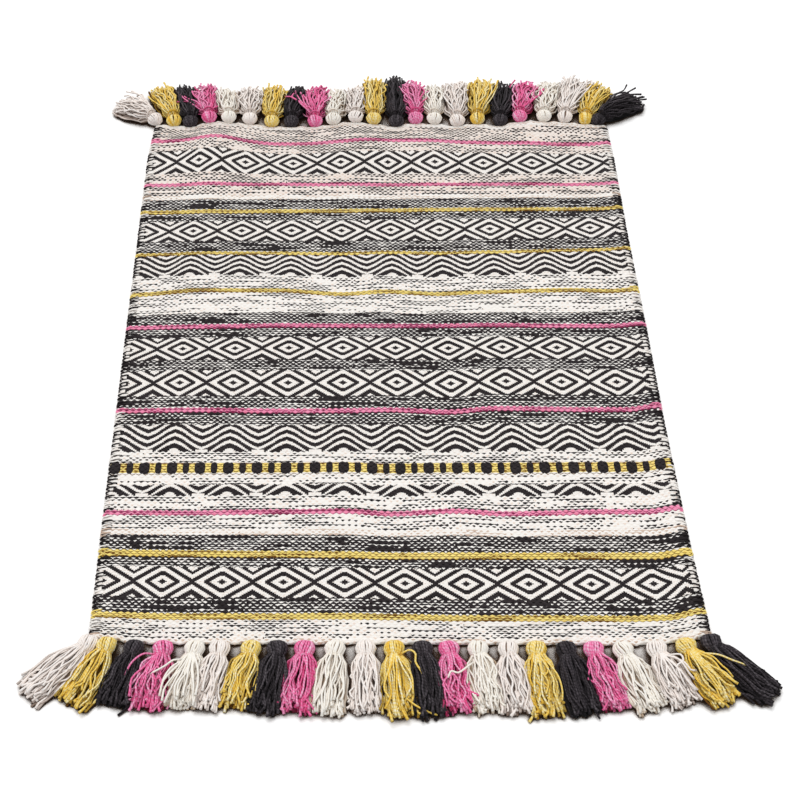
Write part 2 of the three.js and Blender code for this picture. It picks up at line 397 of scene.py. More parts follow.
# Where each band ends, from the near end, and its weave.
BANDS = [
    (6, "hem"), (27.8, "cream"), (35, "mustard"), (52, "dark"), (86, "diamond"),
    (97, "dark"), (104.6, "mustard"), (123.6, "dark"), (131.5, "white"), (148.2, "cream"),
    (154.5, "pink"), (172, "cream"), (186, "zigzag"), (198.8, "pale cream"), (214.2, "chequer"),
    (227.5, "cream"), (264, "zigzag"), (280.2, "dark"), (286.6, "pink"), (303.4, "dark"),
    (340, "diamond"), (355.5, "dark"), (388, "diamond"), (402.2, "dark"), (408.5, "pink"),
    (424.8, "dark"), (438.5, "pale cream"), (455.1, "cream"), (461.6, "mustard"), (485, "cream"),
    (521.7, "zigzag"), (527.1, "mustard"), (545.5, "dark"), (580.5, "diamond"), (594.2, "dark"),
    (600.4, "mustard"), (618, "dark"), (626, "white"), (641.2, "peach"), (647.4, "pink"),
    (665, "peach"), (707.5, "diamond"), (725.1, "peach"), (732.4, "pink"), (760, "peach"),
    (766, "hem"),
]
WARP_PAIRS = 88
WARP_PERIOD = CLOTH_WIDTH / WARP_PAIRS  # two warp threads
MESH_SWING = 0.3  # of a pick, at its edges
FINE = 8  # rows and columns of the top to one of the underside
FIGURE_PITCH = 61.2
FIGURE_START = 5.5  # from the left side to the first middle of a diamond
DIAMOND_RISE = 0.83  # half pitches for the half height of a diamond
RING_RISE = 0.85  # the same for the ring inside it
PEAK_ROUND = 0.002
DOT_HALVES = (0.135, 0.16)  # across and along
ZIGZAG_ROUND = 0.05
KNOT_HALVES = (0.19, 0.132)  # half the width of a large knot and a small one, in pitches
STRIPE_SHARE = 0.8  # of the chequered band's height, between the knots
ZIGZAG_PERIOD = 9.2
ZIGZAG_FALL = 2.05  # periods from a peak to a valley
ZIGZAG_START = 0.58  # periods
HOLLOW = 0.34  # periods left white below the peaks and the valleys
FOOT_RISE = 0.78  # periods up to which the foot of a peak is filled in
BEAD_HALVES = (0.2, 0.5)  # the white bead left in it: in half pitches, and in periods
SELVEDGE = 6.0  # how much of each side is plain
FIGURE_WARP = 1.9  # finer steps of a figure to one of the plain weave
ROPED_STAND = 0.8  # a weave that stands higher than this is a thick roped stripe

# The relief of the cloth, in millimetres: its crossings, its figures, and two unevennesses.
CROSSING_RISE, FIGURE_RISE = 0.13, 0.45
BROAD_RISE, FINE_RISE = 0.35, 0.22
RING_AT, OUTER_AT, CORNER_AT = 0.5, 1.0, 1.36  # a figure's black lines, in half pitches
BLACK_HALF = 0.1  # half the thickness of one
DOT_REACH = 0.16
STRIPE_AT, STRIPE_HALF = 0.58, 0.2  # the black stripe of a zigzag, in periods
SMALL_KNOT = 0.8  # how full a small knot is, where a large one is 1
KNOT_RISE = 1.6
EDGE_DROP = 0.7  # how much lower the rim of the top lies
RIM_SHARE = 0.45  # how high up the side of the cloth stands out most
SIDE_STAND, SIDE_RAGGED = 0.9, 0.9  # how far it stands out there, and how unevenly

# The levels of a streaky noise lie about 0.5 like a bell curve: how widely, how steep the
# formula for such a curve is, and the least share that it is worked out for.
NOISE_SPREAD, BELL_STEEPNESS, LEAST_SHARE = 0.115, 1.702, 1e-4

# The rows of the mesh: two to a pick, on its middle line and on its edge.
row_along, row_pick, row_band = [0.0], [-0.5], []
band_start = 0.0
for number, (band_end, name) in enumerate(BANDS):
    picks = max(1, round((band_end - band_start) / WEAVES[name].pick))
    for half_pick in range(1, 2 * picks + 1):
        row_along.append(band_start + (band_end - band_start) * half_pick / (2 * picks))
        row_pick.append(row_pick[-1] + 0.5)
        row_band.append(number)
    band_start = band_end
while len(row_band) % FINE:  # one more pick in the last hem
    last = [at for at in range(len(row_band)) if row_band[at] == len(BANDS) - 1]
    row_band += [len(BANDS) - 1] * 2
    row_pick += [row_pick[-1] + 0.5, row_pick[-1] + 1.0]
    row_along = row_along[: last[0] + 1]
    steps = np.linspace(BANDS[-2][0], BANDS[-1][0], len(last) + 3)
    row_along += list(steps[1:])
row_along, row_pick, row_band = map(np.array, (row_along, row_pick, row_band))
columns = 2 * WARP_PAIRS
rows = len(row_band)

# A coarse slab: its underside, its rim in two steps, and a top that is then divided.
UNDER, RIM, TOP = 0, 1, 2
cloth_form = bmesh.new()
bmesh.ops.create_grid(cloth_form, x_segments=columns // FINE, y_segments=rows // FINE, size=0.5)
for layer in (RIM, TOP):
    skin = [face for face in cloth_form.faces if all(v.co.z == layer - 1 for v in face.verts)]
    raised = bmesh.ops.extrude_face_region(cloth_form, geom=skin)["geom"]
    for vertex in raised:
        if isinstance(vertex, bmesh.types.BMVert):
            vertex.co.z = layer
    if layer == TOP:
        bmesh.ops.delete(cloth_form, geom=skin, context="FACES")
top_edges = [edge for edge in cloth_form.edges if all(v.co.z == TOP for v in edge.verts)]
bmesh.ops.subdivide_edges(cloth_form, edges=top_edges, cuts=FINE - 1, use_grid_fill=True)
bmesh.ops.recalc_face_normals(cloth_form, faces=cloth_form.faces)
cloth_mesh = bpy.data.meshes.new("rug_cloth_woven")
cloth_form.to_mesh(cloth_mesh)
cloth_form.free()


def read(items, field, width=1, kind=np.int32):
    """One field of every vertex, corner or face of a mesh, as an array."""
    values = np.empty(len(items) * width, kind)
    items.foreach_get(field, values)
    return values


spots = read(cloth_mesh.vertices, "co", 3, float).reshape(-1, 3)
column = np.rint((spots[:, 0] + 0.5) * columns).astype(int)
row = np.rint((spots[:, 1] + 0.5) * rows).astype(int)
layer = np.rint(spots[:, 2]).astype(int)


def pick_place(column, row):
    """How many picks along a point of the mesh is: an edge of a pick swings by turns."""
    swing = np.where(row % 2 == 0, MESH_SWING, 0.0)
    swing[(row == 0) | (row == rows)] = 0
    return row_pick[row] + swing * np.where((row // 2 - 1 + column) % 2 == 0, 1, -1)


def figure_place(across, along, band):
    """Where a point lies in its band's figure: in half pitches across, and along."""
    ends = np.array([0.0] + [end for end, _ in BANDS])
    kinds = np.array([WEAVES[name].figure or "" for _, name in BANDS])[band]
    start, end = ends[band], ends[band + 1]
    x = (across - FIGURE_START) / (FIGURE_PITCH / 2)
    y = np.where(kinds == "zigzag", (along - start) / ZIGZAG_PERIOD,
                 (along - (start + end) / 2) / ((end - start) / 2))
    return x, y, kinds


def zigzag(x):
    return np.abs((x + 1) % 2 - 1)


def rope_height(x, y, kinds):
    """1 on the white ropes of a figure or on a knot, and 0 on black lines."""
    fold = zigzag(x)
    bent = fold - ZIGZAG_ROUND * np.sin(2 * math.pi * fold)
    rounded = np.sqrt(fold**2 + PEAK_ROUND)
    outer, inner = rounded + DIAMOND_RISE * np.abs(y), rounded + RING_RISE * np.abs(y)
    black = (abs(inner - RING_AT) < BLACK_HALF) | (abs(outer - OUTER_AT) < BLACK_HALF)
    black |= (inner < DOT_REACH) | (outer > CORNER_AT)
    fall = (y + ZIGZAG_FALL * bent + ZIGZAG_START) % 1
    in_zigzag = np.abs(fall - STRIPE_AT) > STRIPE_HALF
    pitches = np.abs((x + 0.5) % 1 - 0.5)
    large = (pitches / KNOT_HALVES[0]) ** 2 + y**4 < 1
    small = ((0.5 - pitches) / KNOT_HALVES[1]) ** 2 + y**4 < SMALL_KNOT
    return np.select([kinds == "diamond", kinds == "zigzag", kinds == "chequer"],
                     [~black, in_zigzag, KNOT_RISE * (large | small)], 0).astype(float)


across = column / columns * CLOTH_WIDTH
picks = pick_place(column, row)
along = np.interp(picks, row_pick, row_along)
band = row_band[np.clip(row, 0, rows - 1)]
x = across - CLOTH_WIDTH / 2
strayed = x + np.interp(across, WARP_STRAY[:, 0], WARP_STRAY[:, 1])
place = cloth_place(strayed, FIRST_PICK + along + wander(x, along), along / WOVEN_LENGTH)

over = np.where((np.round(row_pick[row]).astype(int) + column) % 2 == 0, 1.0, -0.6)
over = np.where(row % 2 == 0, -0.3, over)
stand = np.array([WEAVES[name].stand for _, name in BANDS])
beside = row_band[np.clip(row - 1, 0, rows - 1)]
raise_by = np.where(row % 2 == 0, np.minimum(stand[band], stand[beside]), stand[band])
ropes = rope_height(*figure_place(across, along, band))
bumps = CROSSING_RISE * over * (1 + 2.6 * raise_by) + raise_by + FIGURE_RISE * ropes
bumps += np.array([
    BROAD_RISE * noise.noise(Vector((a / 55, b / 30, 0)))
    + FINE_RISE * noise.noise(Vector((a / 9, b / 5, 3)))
    for a, b in zip(across, along)
])
height = np.where(layer == TOP, CLOTH_TOP + bumps, 0)
at_side = (column == 0) | (column == columns)
at_end = (row == 0) | (row == rows)
top_rim = (layer == TOP) & (at_side | at_end)
height = np.where(top_rim, CLOTH_TOP - EDGE_DROP + 0.3 * bumps, height)
height = np.where(layer == RIM, CLOTH_TOP * RIM_SHARE, height)
outwards = np.where(column == 0, -1, 1) * at_side
ragged = np.array([noise.noise(Vector((b / 6, s * 9, 0))) for b, s in zip(along, outwards)])
side_stand = SIDE_STAND * (layer == RIM) - 0.5 * (layer == UNDER) + SIDE_RAGGED * ragged
place[:, 0] += outwards * side_stand
place[:, 2] += height
cloth_mesh.vertices.foreach_set("co", (place * MM).ravel())

corner_vertex = read(cloth_mesh.loops, "vertex_index")
first_corner = read(cloth_mesh.polygons, "loop_start")
face_row = np.minimum.reduceat(row[corner_vertex], first_corner)
face_band = row_band[np.clip(face_row, 0, rows - 1)]
corner_band = np.repeat(face_band, read(cloth_mesh.polygons, "loop_total"))
corner_across, corner_along = across[corner_vertex], along[corner_vertex]
figure_x, figure_y, corner_kinds = figure_place(corner_across, corner_along, corner_band)
finer = np.where((corner_kinds == "diamond") | (corner_kinds == "zigzag"), FIGURE_WARP, 1.0)


def lay_map(mesh, name, across, along):
    layer = mesh.uv_layers.new(name=name, do_init=False)
    layer.uv.foreach_set("vector", np.stack([across, along], 1).astype(np.float32).ravel())


lay_map(cloth_mesh, "Weave", corner_across * MM, corner_along * MM)
lay_map(cloth_mesh, "Picks", corner_across / WARP_PERIOD * finer, picks[corner_vertex])
lay_map(cloth_mesh, "Figure", figure_x, figure_y)


def noise_level(share):
    """The level of a streaky noise that this share of it lies under."""
    share = min(max(share, LEAST_SHARE), 1 - LEAST_SHARE)
    return 0.5 + NOISE_SPREAD * math.log(share / (1 - share)) / BELL_STEEPNESS


def sew_in(mesh, name, kind, values):
    layer = mesh.attributes.new(name, kind, "FACE")
    field = "color" if kind == "FLOAT_COLOR" else "vector"
    layer.data.foreach_set(field, np.asarray(values, np.float32).ravel())


def by_band(values):
    """Values worked out from each band's weave, for every face of the cloth."""
    return np.array([values(WEAVES[name]) for _, name in BANDS])[face_band]


def figure_kind(weave):
    kind = weave.figure
    return kind in ("diamond", "zigzag"), kind == "zigzag", kind == "chequer"


sew_in(cloth_mesh, "main_yarn", "FLOAT_COLOR", by_band(lambda w: (*w.main, w.stand > ROPED_STAND)))
sew_in(cloth_mesh, "second_yarn", "FLOAT_COLOR", by_band(lambda w: (*w.second, w.thickness)))
levels = by_band(lambda w: (w.swing, noise_level(w.shows), noise_level(w.takes_over)))
sew_in(cloth_mesh, "lay", "FLOAT_VECTOR", levels)
sew_in(cloth_mesh, "figure_kind", "FLOAT_VECTOR", by_band(figure_kind))
cloth_mesh.polygons.foreach_set("use_smooth", np.ones(len(cloth_mesh.polygons), bool))

cloth_finish = Finish("woven_cloth_cotton", roughness=0.92, sheen=0.08)
u, v = cloth_finish.map("Picks")
swing, second_level, takeover_level = cloth_finish.parts(cloth_finish.sewn_in("lay"))
figured, is_zigzag, is_chequer = cloth_finish.parts(cloth_finish.sewn_in("figure_kind"))
figure_u, figure_v = cloth_finish.map("Figure")


def floor_of(number):
    return number.finish.maths("FLOOR", number)


def larger(first, second):
    return cloth_finish.maths("MAXIMUM", first, second)


def held(value):
    return cloth_finish.held(value)


def streaky(across, along, detail=1.0, roughness=0.5):
    """An uneven level that follows the picks."""
    place = cloth_finish.vector(across, along, 0.0)
    return cloth_finish.noise(place, 1.0, detail, roughness, "2D")


def in_oval(across, along, size=1):
    return across * across + along * along < size


# Which pick lies on top here, how far from its middle line, and how high it rides.
below = floor_of(v)
turn = 1 - 2 * abs(cloth_finish.maths("MODULO", below, 2.0))
wave = cloth_finish.maths("COSINE", u * (2 * math.pi))
above = (v - below) > (0.5 + swing * turn * wave)
pick = below + above
crest = wave * turn * (1 - 2 * above)
side = (v - pick) / larger(0.5 + swing * crest, 0.12)
edge = held(side * side)

# The second yarn of a pick shows as a dash at each crossing, in runs along the pick.
RUN_SCALE = (0.13, 5.37)  # how fast the runs change, along a pick and from pick to pick
RAGGED_SCALE = (2.3, 3.3)  # the same for the ragged line that a dash follows
LUCK_SHARE = 0.16  # how much chance adds to a run at each crossing
DASH_EDGE = 3  # how sharp the edge of a dash is
PALE_MORE = 0.07  # how much more often a dash shows as a paler stain
crossing = floor_of(u + (1 - turn * (1 - 2 * above)) * 0.25 + 0.5)
luck = cloth_finish.chance(cloth_finish.vector(crossing, pick, 0.0))
run = streaky(u * RUN_SCALE[0], pick * RUN_SCALE[1])
drawn = run + (luck - 0.5) * LUCK_SHARE
thin = cloth_finish.sewn_in("second_yarn", "Alpha") + 0.3 * luck * luck
ragged_line = streaky(u * RAGGED_SCALE[0], pick * RAGGED_SCALE[1], roughness=0.6)
off_line = (side + 0.9 * ragged_line - 0.1) / thin
spread = larger(crest + 0.95 - 1.1 * luck, 1.5 * (run < takeover_level))
dash = held((spread - off_line * off_line) * DASH_EDGE)
heather = dash * (drawn < second_level)
pale_dash = dash * (drawn < second_level + PALE_MORE)

# The figures' own lines, in fine steps.
STEP_ACROSS, STEP_ALONG = 1 / 16, 1 / 14
stepped_u = cloth_finish.maths("SNAP", figure_u + STEP_ACROSS / 2, STEP_ACROSS)
stepped_v = cloth_finish.maths("SNAP", figure_v + STEP_ALONG / 2, STEP_ALONG)
fold = cloth_finish.maths("PINGPONG", stepped_u, 1.0)
bent = fold - ZIGZAG_ROUND * cloth_finish.maths("SINE", fold * (2 * math.pi))
rounded = cloth_finish.maths("SQRT", fold * fold + PEAK_ROUND)
away = abs(stepped_v)
ON, OFF = (1, 1, 1, 1), (0, 0, 0, 0)
RING_STOPS = [(0, OFF), (0.383, ON), (0.62, OFF)]
OUTER_STOPS = [(0, OFF), (0.89, ON), (1.12, OFF), (1.36, ON), (1.585, OFF)]
FILLED = (1.5, 1.69)  # where the corners' black is thicker in the near half of a band
ZIGZAG_BLACK = (0.31, 0.86)  # of a period


def rings(distance, stops):
    """1 on the black rings of a diamond, between stops in half pitches from its middle."""
    return cloth_finish.ramp(distance / 2, [(at / 2, paint) for at, paint in stops], output=1)


outwards = rounded + away * DIAMOND_RISE
dot = in_oval(fold / DOT_HALVES[0], away / DOT_HALVES[1])
filled = (stepped_v < 0) * (outwards > FILLED[0]) * (outwards < FILLED[1])
ringed = rings(rounded + away * RING_RISE, RING_STOPS) + rings(outwards, OUTER_STOPS)
diamond = held(ringed + dot + filled)
falling = stepped_v + bent * ZIGZAG_FALL
fall = cloth_finish.maths("FRACT", falling + ZIGZAG_START)
swell = 0.1 * held(1 - figure_v)
zigzags = (fall > ZIGZAG_BLACK[0] - swell) * (fall < ZIGZAG_BLACK[1] + swell)
hollow = (figure_v < HOLLOW) * (abs(fold - 0.5) > 0.3)
bead = in_oval(fold / BEAD_HALVES[0], figure_v / BEAD_HALVES[1])
foot = (falling < FOOT_RISE) * (1 - bead)
figure = diamond + is_zigzag * (held(zigzags * (1 - hollow) + foot) - diamond)
pitches = cloth_finish.maths("PINGPONG", figure_u, 0.5)
beyond = abs(figure_v)
large = in_oval(pitches / KNOT_HALVES[0], beyond * beyond)
small = in_oval((0.5 - pitches) / KNOT_HALVES[1], beyond * beyond, SMALL_KNOT)
knots = held(large + small)
weave_across, _ = cloth_finish.map("Weave")
selvedge = abs(weave_across - CLOTH_WIDTH / 2 * MM) > (CLOTH_WIDTH / 2 - SELVEDGE) * MM
margin = is_chequer * (beyond > STRIPE_SHARE)
drawing = figured * figure * (1 - selvedge) + is_chequer * knots
plain = (1 - figured) * (1 - margin)
second = larger(heather * plain, drawing)

WARM = (0.83, 0.66, 0.56, 1)  # what is left of the light on the browner stretches of a pick
banded = cloth_finish.sewn_in("main_yarn", "Color")
main_yarn = cloth_finish.blend(margin, banded, (*WHITE_YARN, 1))
second_yarn_and_furrow_shade = cloth_finish.sewn_in("second_yarn", "Color")
second_yarn = cloth_finish.blend(is_chequer * knots, second_yarn_and_furrow_shade, (*BLACK_YARN, 1))
streaks = held((streaky(u * 0.9, v * 1.7) - 0.46) * 2.2)
warmth = held(streaks * (0.2 + 0.35 * figured) + pale_dash * plain * 0.5)
warmed = cloth_finish.blend(warmth, main_yarn, WARM, "MULTIPLY")
yarn = cloth_finish.blend(second, warmed, second_yarn)

# Painted shade, darker between the picks and their two strands and under the crest of each pick,
# with yarn spun unevenly and broad patches of tone.
PATCHES = 22.0  # to a metre
spun = streaky(u * 1.3, v * 2.1, 2.0, 0.6)
patches = cloth_finish.noise(cloth_finish.put("ShaderNodeTexCoord", {}, "Object"), PATCHES, 2.0)
strand = abs(side) * 2 - 1
groove = strand * strand
# A painted shadow under the crest of each pick.
shadow = held((-0.5 - side) * 3) * held(crest * 2)
shade_and_tone_gamma = 0.9 + 0.25 * groove * groove + 1.2 * shadow + 0.4 * (spun - 0.5) + 0.3 * (patches - 0.5)
shaded = cloth_finish.put("ShaderNodeGamma", {"Color": yarn, "Gamma": shade_and_tone_gamma})
# On the thick roped stripes the edges of each pick take the darker second yarn as painted shade in
# the furrows between picks.
roped = cloth_finish.sewn_in("main_yarn", "Alpha") * (1 - second)
painted_furrow_shade = held((abs(side) - 0.5) * 3.4) * held(spun * 3.6 - 0.75)
shaded = cloth_finish.blend(roped * painted_furrow_shade, shaded, second_yarn_and_furrow_shade)
relief = 0.3 * (1 - edge) * (1 + 0.4 * crest) + 0.1 * (1 - groove) + 0.3 * spun
cloth_finish.wear(shaded, relief + 0.3 * figured * (1 - figure))
cloth_mesh.materials.append(cloth_finish.material)

cloth = new_piece("rug_cloth_woven", cloth_mesh)
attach(cloth, "root")
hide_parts("rug_cloth")


# ---- The tassels ----
# Each is a bunch of plied cotton yarn drawn through the hem, doubled over into a round
# head, and bound below it with a few turns of the same yarn. The cut ends hang loose.
NECK_REACH, HEAD_REACH, TURN_REACH, USUAL_LENGTH = 15.5, 7.0, 14.0, 74.0
FAR_LOFT = 1.45
OVERLAP = 1.6  # how far a skirt lies over or under the next one
YARN_RADIUS = 1.0
YARN_SIDES = 6
SIDE_SHADE = 1.15  # how much more painted shade the side of a yarn gets than its outer face
OPEN_FACING = 0.36  # how squarely a spot has to face outwards to be left without painted side shade
# The section at each reach: half its width, its lowest and highest points, the height of
# its widest line, and the share of the cloth's lift that carries it.
SECTIONS = np.array([
    (0.3, 4.2, 2.4, 5.4, 8.4, 1),
    (3, 8.8, 0.8, 7, 12.8, 1),
    (8.5, 10.4, 0, 7.6, 15, 1),
    (15.5, 7.2, 1.2, 6.6, 12, 1),
    (22, 13.6, 0, 5.2, 14, 0.4),
    (38, 15.6, 0, 4.8, 13.6, 0),
    (58, 15.8, 0, 4, 11.4, 0),
    (74, 15.2, 0, 3, 8.2, 0),
], float)
# Each yarn: its colour, how loosely its strands lie, the colour of its painted shade deep in the
# bunch, as what is left of its light there, and how unevenly it is spun.
Yarn = namedtuple("Yarn", "name colour looseness deep_shade uneven")
YARNS = [
    ("grey", dye(255, 245, 238), 1.1, (0.24, 0.18, 0.145), 0.9),
    ("mustard", dye(247, 208, 93), 1.1, (0.07, 0.04, 0.016), 1.35),
    ("black", dye(42, 37, 41), 0.9, (0.12, 0.09, 0.09), 0.7),
    ("pink", dye(243, 112, 166), 1.4, (0.13, 0.025, 0.045), 1.25),
    ("cream", dye(255, 250, 240), 1.1, (0.5, 0.38, 0.28), 0.7),
]
YARNS = [Yarn(*row) for row in YARNS]
# Strands that stray out of a skirt: the end, the place, and the points they pass, as
# reach, distance aside towards +X, and height.
STRAYS = [
    ("near", 4, [(17, -6, 11), (20, -14, 15.5), (27, -20, 16.5), (35, -24, 15.5), (45, -27, 11)]),
    ("near", 5, [(24, -8, 12), (28, -15, 16), (36, -21, 16.5), (42, -28, 15), (47, -36, 11)]),
    ("near", 5, [(26, -8, 12), (34, -14, 15), (44, -18, 15.5), (54, -20, 13), (62, -19, 9)]),
    ("near", 12, [(16, 6, 11), (15, 14, 15), (20, 19, 16), (28, 18, 15), (36, 22, 13),
                  (43, 25, 9)]),
    ("near", 12, [(58, 4, 9), (66, 12, 8), (72, 22, 5), (76, 31, 3)]),
    ("near", 15, [(24, -8, 12), (30, -16, 15.5), (34, -24, 16), (31, -30, 15.5), (36, -34, 13)]),
    ("near", 9, [(60, 6, 9), (68, 14, 7), (74, 20, 4)]),
    ("near", 14, [(56, 8, 9), (62, 17, 8), (68, 22, 5)]),
    ("near", 18, [(60, 2, 8), (72, 6, 5), (80, 8, 2.5)]),
    ("near", 21, [(20, 6, 12), (26, 15, 16), (34, 14, 16), (36, 6, 15), (46, 2, 13)]),
    ("near", 22, [(24, 8, 13), (34, 18, 16), (46, 26, 15), (58, 36, 11)]),
    ("far", 4, [(24, -8, 14), (32, -20, 17), (40, -31, 16), (45, -42, 12)]),
    ("far", 4, [(28, -6, 15), (36, -16, 17), (47, -24, 15), (52, -33, 11)]),
    ("far", 9, [(30, 6, 15), (38, 15, 17), (46, 26, 13)]),
    ("far", 14, [(30, 6, 15), (42, 14, 16), (52, 24, 12)]),
    ("far", 20, [(26, -4, 15), (32, -16, 18), (40, -20, 18), (48, -12, 16)]),
    ("far", 19, [(30, 8, 15), (40, 18, 17), (50, 26, 13)]),
]


def smooth_path(points, steps):
    """steps + 1 points on a smooth curve through a few."""
    points = np.asarray(points, float)
    ends = [2 * points[0] - points[1], *points, 2 * points[-1] - points[-2]]
    path = []
    for t in np.linspace(0, len(points) - 1, steps + 1):
        at = min(int(t), len(points) - 2)
        a, b, c, d = ends[at : at + 4]
        t -= at
        path.append(0.5 * (2 * b + (c - a) * t + (2 * a - 5 * b + 4 * c - d) * t**2
                           + (3 * b - a - 3 * c + d) * t**3))
    return np.array(path)


class TasselLine:
    """The line a tassel lies along, from the hem to its tips."""

    def __init__(self, end, place):
        self.far = end == "far"
        out = 1 if self.far else -1
        x, stand, lean, self.length = (FAR if self.far else NEAR)[place - 1]
        y = FAR_LINE + stand if self.far else NEAR_LINE - stand
        root = cloth_place(np.array([x]), np.array([y]), 1.0 if self.far else 0.0)[0]
        self.lift, root[2] = root[2], 0
        turn = root + (0, out * TURN_REACH, 0)
        run = self.length - HEAD_REACH
        lean = math.radians(lean)
        tip = root + (math.sin(lean) * run, out * (HEAD_REACH + math.cos(lean) * run), 0)
        t = np.linspace(0, 1.2, 49)[:, None]
        self.points = (1 - t) ** 2 * root + 2 * t * (1 - t) * turn + t**2 * tip
        steps = np.linalg.norm(np.diff(self.points, axis=0), axis=1)
        self.travelled = np.concatenate([[0], np.cumsum(steps)])
        self.stretch = (self.length - NECK_REACH) / (USUAL_LENGTH - NECK_REACH)
        self.limit = None  # how wide the neighbours let it lie, set when all the lines are there

    def travel(self, reach):
        beyond = np.maximum(reach - NECK_REACH, 0)
        return np.minimum(reach, NECK_REACH) + beyond * self.stretch

    def middle(self, reach):
        at = self.travel(reach)
        return np.stack([np.interp(at, self.travelled, self.points[:, i]) for i in range(3)], -1)

    def aside(self, reach):
        ahead = self.middle(np.asarray(reach) + 1.0) - self.middle(np.asarray(reach) - 1.0)
        ahead /= np.linalg.norm(ahead, axis=-1, keepdims=True)
        towards = 1 if self.far else -1
        return np.stack([ahead[..., 1], -ahead[..., 0], 0 * ahead[..., 0]], -1) * towards

    def section(self, reach):
        half, low, widest, high, lift = (
            np.interp(reach, SECTIONS[:, 0], SECTIONS[:, i]) for i in range(1, 6))
        if self.limit is not None:
            half = np.minimum(half, np.interp(reach, self.limit[0], self.limit[1]))
        loft = np.where((reach > NECK_REACH) & self.far, FAR_LOFT, 1.0)
        return half, low, widest, high * loft, lift * self.lift

    def lie(self, reach, aside, height):
        """A point of the skirt: aside from -1 to 1, and height from 0 to 1."""
        half, low, widest, high, lift = self.section(reach)
        aside = np.clip(aside, -1.15, 1.15)
        dome = np.sqrt(np.maximum(1 - np.minimum(np.abs(aside), 1) ** 2, 0.0))
        top = widest + (high - widest) * dome
        bottom = widest + (low - widest) * np.minimum(1, 1.4 * dome)
        inner = half - YARN_RADIUS * 0.6
        z = bottom + YARN_RADIUS + (top - bottom - 2 * YARN_RADIUS) * height + lift
        place = self.middle(reach) + self.aside(reach) * (inner * aside)[..., None]
        place[..., 2] += np.maximum(z, YARN_RADIUS)
        return place

    def ring(self, reach, angle, stand=0.0):
        """A point on the skin of the head: angle 0 is aside, and a quarter turn is up."""
        half, low, widest, high, lift = self.section(reach)
        reach_up = np.where(np.sin(angle) > 0, high - widest, widest - low)
        z = widest + (reach_up - YARN_RADIUS + stand) * np.sin(angle) + lift
        out = (half - YARN_RADIUS + stand) * np.cos(angle)
        place = self.middle(reach) + self.aside(reach) * out[..., None]
        place[..., 2] += np.maximum(z, YARN_RADIUS)
        return place


lines = {(end, place): TasselLine(end, place)
         for end in ("near", "far") for place in range(1, len(TASSELS) + 1)}
for (end, place), line in lines.items():
    reaches = np.linspace(0, USUAL_LENGTH, 16)
    beside = [lines[end, p] for p in (place - 1, place + 1) if (end, p) in lines]
    room = [np.linalg.norm(line.middle(reaches) - other.middle(reaches), axis=1)
            for other in beside]
    over = OVERLAP * np.clip((reaches - NECK_REACH) / 8, 0, 1)
    line.limit = (reaches, np.min(room, axis=0) / 2 + over)


UPWARDS = np.array([0.0, 0.0, 1.0])


class Strand:
    """A round yarn: its path in millimetres, its radius at each point, how deep in the bunch it
    lies, from 0 to 1, which also sets its painted shade, and the way that is outwards there, away
    from which its sides get painted shade."""

    def __init__(self, path, radii, deep=0.0, outwards=UPWARDS):
        self.path = path
        self.radii = np.broadcast_to(radii, len(path)).astype(float)
        self.deep = deep
        self.outwards = np.broadcast_to(outwards, path.shape)
        self.length = np.linalg.norm(np.diff(path, axis=0), axis=1).sum()


def curve_mesh(name, strands):
    """Round yarns as a mesh: the caps of the last yarn come first, and then all the sides."""
    curve = bpy.data.curves.new(name, "CURVE")
    curve.dimensions = "3D"
    curve.bevel_depth = MM
    curve.bevel_resolution = (YARN_SIDES - 4) // 2
    curve.use_fill_caps = True
    for strand in strands:
        spline = curve.splines.new("POLY")
        spline.points.add(len(strand.path) - 1)
        spots = np.ones((len(strand.path), 4))
        spots[:, :3] = strand.path * MM
        spline.points.foreach_set("co", spots.ravel())
        spline.points.foreach_set("radius", strand.radii)
    holder = bpy.data.objects.new(name, curve)
    bpy.context.scene.collection.objects.link(holder)
    seen = holder.evaluated_get(bpy.context.evaluated_depsgraph_get())
    mesh = bpy.data.meshes.new_from_object(seen)
    bpy.data.objects.remove(holder)
    bpy.data.curves.remove(curve)
    mesh.name = name
    return mesh


def bunch_and_side_shade(mesh, strands):
    """Painted shade at each point round the yarns, from how deep the yarn lies in the bunch and how
    far the point faces away from outwards: least on the side that faces outwards.
    """
    spots = read(mesh.vertices, "co", 3, float).reshape(-1, 3)[2 * YARN_SIDES * len(strands):] / MM
    paths = np.concatenate([strand.path for strand in strands])
    outwards = np.concatenate([strand.outwards for strand in strands])
    offset = spots - np.repeat(paths, YARN_SIDES, axis=0)
    offset /= np.maximum(np.linalg.norm(offset, axis=1, keepdims=True), 1e-6)
    facing = (offset * np.repeat(outwards, YARN_SIDES, axis=0)).sum(1)
    points = [len(strand.path) * YARN_SIDES for strand in strands]
    deep = np.repeat([strand.deep for strand in strands], points)
    return np.clip(deep + SIDE_SHADE * np.maximum(OPEN_FACING - facing, 0), 0, 1)


def sew_in_points(mesh, name, values):
    layer = mesh.attributes.new(name, "FLOAT", "POINT")
    layer.data.foreach_set("value", np.asarray(values, np.float32))


